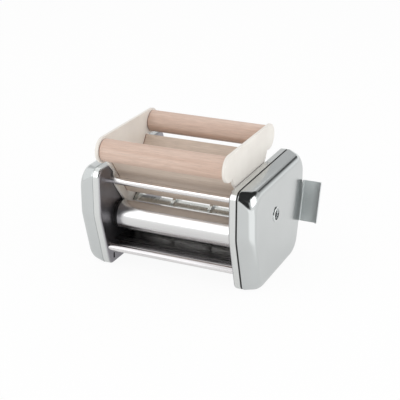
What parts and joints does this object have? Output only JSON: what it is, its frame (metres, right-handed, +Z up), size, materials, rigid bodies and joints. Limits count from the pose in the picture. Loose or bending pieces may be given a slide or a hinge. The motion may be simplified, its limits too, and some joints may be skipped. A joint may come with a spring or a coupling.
{
  "type": "ravioli maker",
  "caption": "Hand cranked ravioli maker: lift-off hopper over a smooth and a moulding roller between steel side cases, with chute and slide brackets.",
  "frame": {"origin": "middle of the underside of the overall box, on the table", "axes": "+X to the crank side, +Y to the rear where the slide brackets are, +Z up"},
  "size_m": [0.235, 0.1908, 0.1565],
  "materials": {
    "case_chrome": "polished",
    "cover_chrome": "polished, slightly satin",
    "joint_strip": "matt black",
    "rod": "polished",
    "fastener": "zinc plated",
    "bush": "black",
    "bracket": "plated sheet",
    "chute": "polished sheet",
    "collar": "turned",
    "smooth_roller": "ground and polished",
    "shaft": "turned",
    "gear": "cut steel",
    "moulding_roller": "machined",
    "wood": "bare beech",
    "panel": "ivory"
  },
  "bodies": {
    "case": {"right_side_plate": "case_chrome", "left_side_plate": "case_chrome", "right_joint_strip": "joint_strip", "left_joint_strip": "joint_strip", "right_cover": "cover_chrome", "left_cover": "cover_chrome", "upper_front_rod": "rod", "upper_rear_rod": "rod", "lower_front_rod": "rod", "lower_rear_rod": "rod", "right_rod_screws": "fastener", "left_rod_screws": "fastener", "right_front_bush": "bush", "left_front_bush": "bush", "right_rear_bush": "bush", "left_rear_bush": "bush", "right_slide_bracket": "bracket", "left_slide_bracket": "bracket", "right_bracket_rivets": "fastener", "left_bracket_rivets": "fastener", "exit_chute": "chute", "crank_bush": "bush", "crank_collar": "collar"},
    "smooth_roller": {"smooth_roller": "smooth_roller", "smooth_roller_shaft": "shaft", "smooth_roller_gear": "gear", "smooth_roller_clips": "fastener"},
    "moulding_roller": {"moulding_roller": "moulding_roller", "moulding_roller_shaft": "shaft", "moulding_roller_gear": "gear", "moulding_roller_clips": "fastener"},
    "crank": {"crank_shaft": "shaft", "crank_pinion": "gear"},
    "hopper": {"hopper_front_rail": "wood", "hopper_rear_rail": "wood", "hopper_front_board": "wood", "hopper_rear_board": "wood", "hopper_right_panel": "panel", "hopper_left_panel": "panel"}
  },
  "joints": [
    {"name": "smooth_roller_spin", "type": "hinge", "parent": "case", "child": "smooth_roller", "pos_m": [0, -0.04344, 0.0544], "axis": [1, 0, 0], "continuous": true},
    {"name": "moulding_roller_spin", "type": "hinge", "parent": "case", "child": "moulding_roller", "pos_m": [0, -0.00761, 0.05095], "axis": [1, 0, 0], "continuous": true},
    {"name": "crank_spin", "type": "hinge", "parent": "case", "child": "crank", "pos_m": [0.0954, -0.02061, 0.07461], "axis": [1, 0, 0], "continuous": true},
    {"name": "hopper_lift", "type": "slide", "parent": "case", "child": "hopper", "axis": [0, 0, 1], "range_m": [0, 0.06]}
  ],
  "couplings": [
    {"joint": "moulding_roller_spin", "follows": "smooth_roller_spin", "ratio": -1},
    {"joint": "crank_spin", "follows": "smooth_roller_spin", "ratio": 2}
  ]
}
